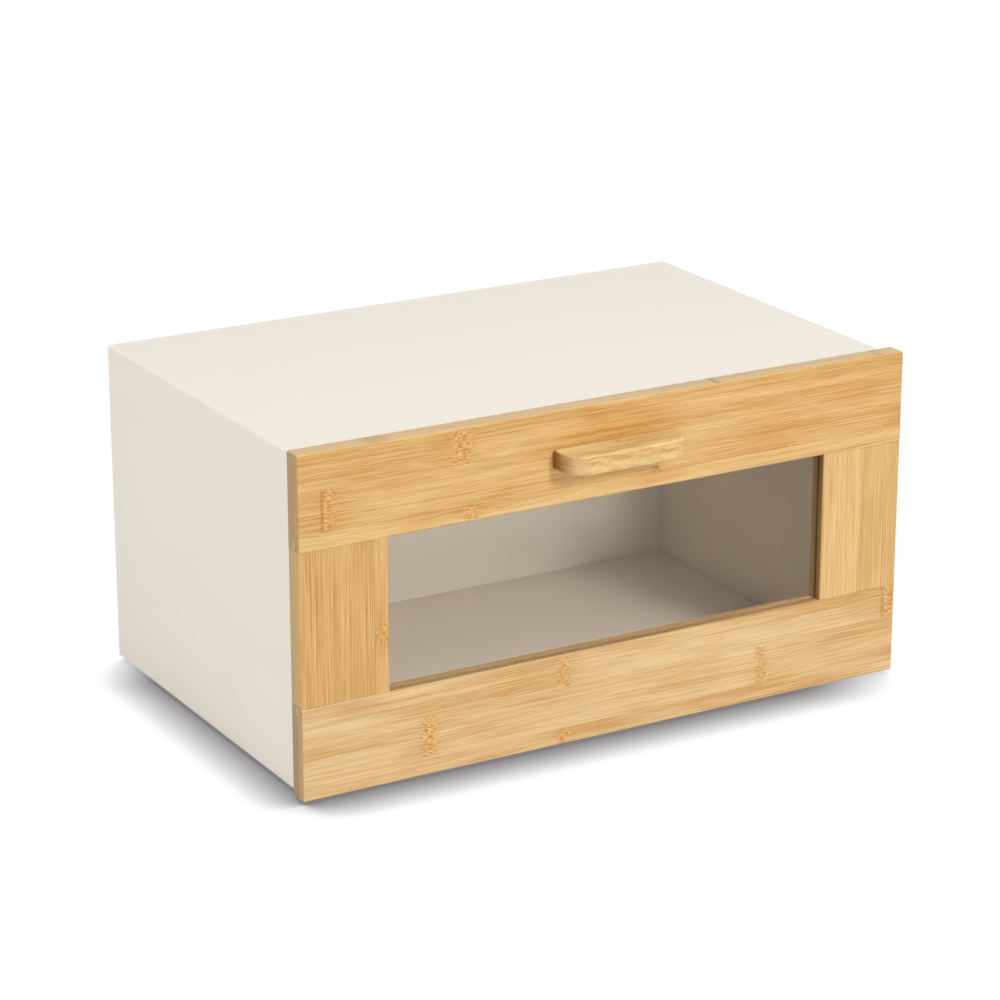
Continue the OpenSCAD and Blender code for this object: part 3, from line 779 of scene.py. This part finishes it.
# %% Screws
def screw_grid(length, head, columns=36):
    """A countersunk wood screw, head's face at z = 0 and point at z = length, in mm. Its
    shank is half as wide as its head.
    Face: z = recess (1 - (d / half)^2), d the distance from the nearer arm of the cross.
    Cone: r = head / 2 - z. Thread: r = core + (wide / 2 - core) max(0, 1 - |2 f - 1| / crest),
    f the fractional part of z / pitch - angle / 2 pi; the shank tapers to 0 at the point."""
    angle = ring(columns)
    wide = head / 2
    pitch, core, neck = 0.46 * wide, 0.36 * wide, 0.28 * length
    half, reach, recess, arm_end = 0.068 * head, 0.31 * head, 0.16 * head, 0.4
    cone_height, point_run, crest = (head - wide) / 2, 1.6 * wide, 0.55
    radius = head / 2 * np.linspace(0.03, 0.985, 14)[:, None]
    across = np.minimum(abs(radius * np.cos(angle)), abs(radius * np.sin(angle)))
    arm = np.clip(1 - (across / half) ** 2, 0, 1) * np.clip((reach - radius) / arm_end, 0, 1)
    face = (radius + 0 * angle, recess * arm)
    depth = np.array([0.03, 0.3, 0.6, 0.9, 1.0])[:, None] * cone_height
    cone = (head / 2 - 0.02 - depth + 0 * angle, depth + 0 * angle)
    run = np.arange(cone_height + 0.2, length - 0.15, pitch / 6)[:, None]
    taper = np.clip((length - run) / point_run, 0, 1) ** 0.7
    cut = np.clip((run - neck) / 1.5, 0, 1)
    part = np.mod(run / pitch - angle / (2 * np.pi), 1.0)
    ridge = np.clip(1 - abs(2 * part - 1) / crest, 0, 1) * cut
    shank_r = core + (wide / 2 - core) * ridge + 0.12 * wide * (1 - cut)
    shank = (shank_r * taper, run + 0 * angle)
    r, z = (np.vstack(parts) for parts in zip(face, cone, shank))
    return around(angle, r, z)


def forwards(_):
    """Towards the front, wherever the solid sits."""
    return (0.0, -1.0, 0.0)


def backwards(_):
    """Towards the back."""
    return (0.0, 1.0, 0.0)


def upwards(_):
    """Straight up."""
    return (0.0, 0.0, 1.0)


def inwards(centre):
    """From the left or the right side towards the middle."""
    return (-np.sign(centre[0]), 0.0, 0.0)


for node, towards in (("handle_screws", forwards), ("side_screws", inwards),
                      ("bottom_screws", upwards)):
    turned(node + "_threaded", node, towards, screw_grid, steel, "drawer")

# %% [markdown]
# ## Dowels and pads
# A dowel's flutes let the glue out as it is driven in, and its ends are cut back so that
# it finds the hole. A pad is moulded rubber, with rings on its sole that hold the table.

# %% Dowels and pads
def dowel_grid(length, wide, flutes=20, columns=120):
    """A fluted dowel, in mm. r = wide / 2 - depth max(0, cos(flutes angle)) on its length,
    and its ends are cut back at 45 degrees by a chamfer."""
    angle = ring(columns)
    depth, chamfer, start = 0.22, 0.8, 1.4
    from_end = np.array([0.0, 0.0, chamfer, start])
    inset = np.array([2 * chamfer, chamfer, 0.0, 0.0])
    z = np.concatenate([from_end, length - from_end[::-1]])[:, None]
    end = np.concatenate([inset, inset[::-1]])[:, None]
    r = wide / 2 - end - depth * (end == 0) * np.clip(np.cos(flutes * angle), 0, 1)
    return around(angle, r, z)


def pad_grid(height, wide, columns=72):
    """A round rubber pad, in mm, z = 0 on the table. Its side swells by a half sine, its
    lower edge is a quarter circle, and its sole has two shallow rings, where
    z = ring_height max(0, sin(6 pi s)), s the share of the pad's radius."""
    angle = ring(columns)
    ring_height, corner, swell = 0.22, 0.6, 0.15
    sole = np.linspace(0.05, 0.88, 40)
    rings = ring_height * np.clip(np.sin(sole * 6 * np.pi), 0, 1) * (sole > 0.3)
    up = np.linspace(0, np.pi / 2, 9)
    corner_r = (wide / 2 - swell - corner) + corner * np.sin(up)
    corner_z = corner * (1 - np.cos(up))
    side_z = np.linspace(corner, height, 8)[1:]
    swelling = np.sin(np.pi * (side_z - corner) / (height - corner))
    side_r = wide / 2 - swell + swell * swelling
    r = np.concatenate([sole * wide / 2, corner_r, side_r, [wide / 4]])[:, None]
    z = np.concatenate([rings, corner_z, side_z, [height]])[:, None]
    return around(angle, r, z)


turned("front_dowels_fluted", "front_dowels", backwards, dowel_grid, pale_wood, "drawer")
turned("foot_pads_moulded", "foot_pads", upwards, pad_grid, rubber, "casing")

# %% [markdown]
# ## The floor
# The photograph's background is pure white and only a soft contact shadow is kept. The
# floor adds a little white for the camera, for mirrors and through glass, so that its far
# parts are white and the lamps' own shadows on it hardly show. The contact shadow is
# ambient occlusion that looks up and to the back right, so it lies in front and at the
# left, and it fades towards the far back and the right end. It has a trace of purple.
# Mirrors see a darker floor, since a white one in the pane would hide the inside.

# %% Floor
FLOOR_HALF = 6.0
FLOOR_SEEN, FLOOR_UNSEEN = 0.05, 0.8
SHADE_REACH, SHADE_TILT, SHADE_SAMPLES = 0.053, (0.50, 0.58, 0.643), 32
SHADE_FADE, SHADE_DEPTH = (0.39, 0.72), 0.79
SHADE_TINT = (1, 0.955, 0.99, 1)
BACK_FADE, BACK_LEFT_OVER = (0.085, 0.14), 0.42
RIGHT_FADE, RIGHT_LEFT_OVER = (0.13, 0.205), 0.3
FAR_FADE, NEAR_WHITE, MIRRORED_WHITE = (0.3, 1.2), 0.96, 0.3


def only_seen(web):
    """1 for rays from the camera, from mirrors and through glass, and 0 for all others."""
    path = web.tree.nodes.new("ShaderNodeLightPath")
    seen = web.math("MAXIMUM", path.outputs["Is Camera Ray"], path.outputs["Is Glossy Ray"])
    return web.math("MAXIMUM", seen, path.outputs["Is Transmission Ray"])


corners = np.array([(-1, -1), (1, -1), (1, 1), (-1, 1)]) * FLOOR_HALF
floor_mesh = bpy.data.meshes.new("floor")
floor_mesh.from_pydata([(x, y, 0.0) for x, y in corners], [], [(0, 1, 2, 3)])
floor = bpy.data.objects.new("floor", floor_mesh)
bpy.context.scene.collection.objects.link(floor)
floor_white, web, shader, leave = new_material("floor_white")
seen = only_seen(web)
near = web.tree.nodes.new("ShaderNodeAmbientOcclusion")
near.samples = SHADE_SAMPLES
near.inputs["Distance"].default_value = SHADE_REACH
web.join(web.vector(*SHADE_TILT), near.inputs["Normal"])
at_floor = web.add("TexCoord", out="Object")
floor_x, floor_y, _ = web.axes(at_floor)
shade = web.math("MULTIPLY", web.span(near.outputs["AO"], *SHADE_FADE, SHADE_DEPTH, 0.0),
                 web.span(floor_y, *BACK_FADE, 1.0, BACK_LEFT_OVER, ease="SMOOTHSTEP"))
shade = web.math("MULTIPLY", shade,
                 web.span(floor_x, *RIGHT_FADE, 1.0, RIGHT_LEFT_OVER, ease="SMOOTHSTEP"))
tone = web.span(seen, 0.0, 1.0, FLOOR_UNSEEN, FLOOR_SEEN)
web.join(web.vector(tone, tone, tone), shader.inputs["Base Color"])
web.join(1.0, shader.inputs["Roughness"])
web.join(0.0, shader.inputs["Specular IOR Level"])
far = web.add("VectorMath", (at_floor,), operation="LENGTH", out=1)
white = web.span(far, *FAR_FADE, NEAR_WHITE, 1.0, ease="SMOOTHSTEP")
mirrored = web.add("LightPath", out="Is Glossy Ray")
white = web.math("MULTIPLY", white, web.span(mirrored, 0.0, 1.0, 1.0, MIRRORED_WHITE))
white = web.math("MULTIPLY", web.math("MULTIPLY", white, seen), web.math("SUBTRACT", 1.0, shade))
glow = web.add("Emission", {"Color": web.mix(shade, (1, 1, 1, 1), SHADE_TINT), "Strength": white})
web.join(web.add("AddShader", (shader.outputs[0], glow)), leave.inputs[0])
floor_mesh.materials.append(floor_white)
print("floor", 2 * FLOOR_HALF, "m wide, contact shadow", 1000 * SHADE_REACH, "mm deep")

# %% [markdown]
# ## World and lamps
# The world is white for the camera and only a weak fill for the object. How the light
# falls through the pane tells where the lamps stood: a shadow's soft edge inside the box
# was traced back through the window, and it comes from one lamp in front, 28 degrees up
# and slightly to the right, and from a lower one beside it. Above and at the left are two
# larger, weaker ones, and one stands low behind for the back and the right side. No lamp
# is mirrored in the paint: seen along the top, that would wash it out.

# %% World
FILL = 0.07
world = bpy.data.worlds.new("studio")
bpy.context.scene.world = world
world.use_nodes = True
world.node_tree.nodes.clear()
web = Web(world.node_tree)
strength = web.math("MULTIPLY_ADD", only_seen(web), 1.0 - FILL, FILL)
sky = web.add("Background", {"Color": (1, 1, 1, 1), "Strength": strength})
leave = world.node_tree.nodes.new("ShaderNodeOutputWorld")
web.join(sky, leave.inputs[0])
print("world fill", FILL)

# %% Lamps
LAMPS_FACE = Vector((0, 0, 0.1))


def lamp(name, azimuth, elevation, distance, width, height, level):
    """A soft box that faces the object. level is its brightness: 1 is white. Azimuth 0 is
    in front, and grows towards +X; its power is level x pi x area, as for a plain emitter."""
    az, el = math.radians(azimuth), math.radians(elevation)
    away = Vector((math.sin(az) * math.cos(el), -math.cos(az) * math.cos(el), math.sin(el)))
    data = bpy.data.lights.new(name, "AREA")
    data.shape, data.size, data.size_y = "RECTANGLE", width, height
    data.energy = level * math.pi * width * height
    box = bpy.data.objects.new(name, data)
    bpy.context.scene.collection.objects.link(box)
    turn = (-away).to_track_quat("-Z", "Y").to_matrix().to_4x4()
    box.matrix_world = Matrix.Translation(LAMPS_FACE + away * distance) @ turn
    box.visible_glossy = False
    print("lamp", name, "power", round(data.energy, 1), "W")


lamp("key", azimuth=13.5, elevation=28.5, distance=2.4, width=0.38, height=0.34, level=54.0)
lamp("low", azimuth=2.5, elevation=5, distance=2.4, width=0.28, height=0.36, level=39.0)
lamp("top", azimuth=20, elevation=80, distance=2.2, width=1.6, height=1.6, level=3.9)
lamp("left", azimuth=-95, elevation=14, distance=2.2, width=1.6, height=1.4, level=3.6)
lamp("behind", azimuth=135, elevation=6, distance=2.4, width=2.0, height=0.4, level=8.4)
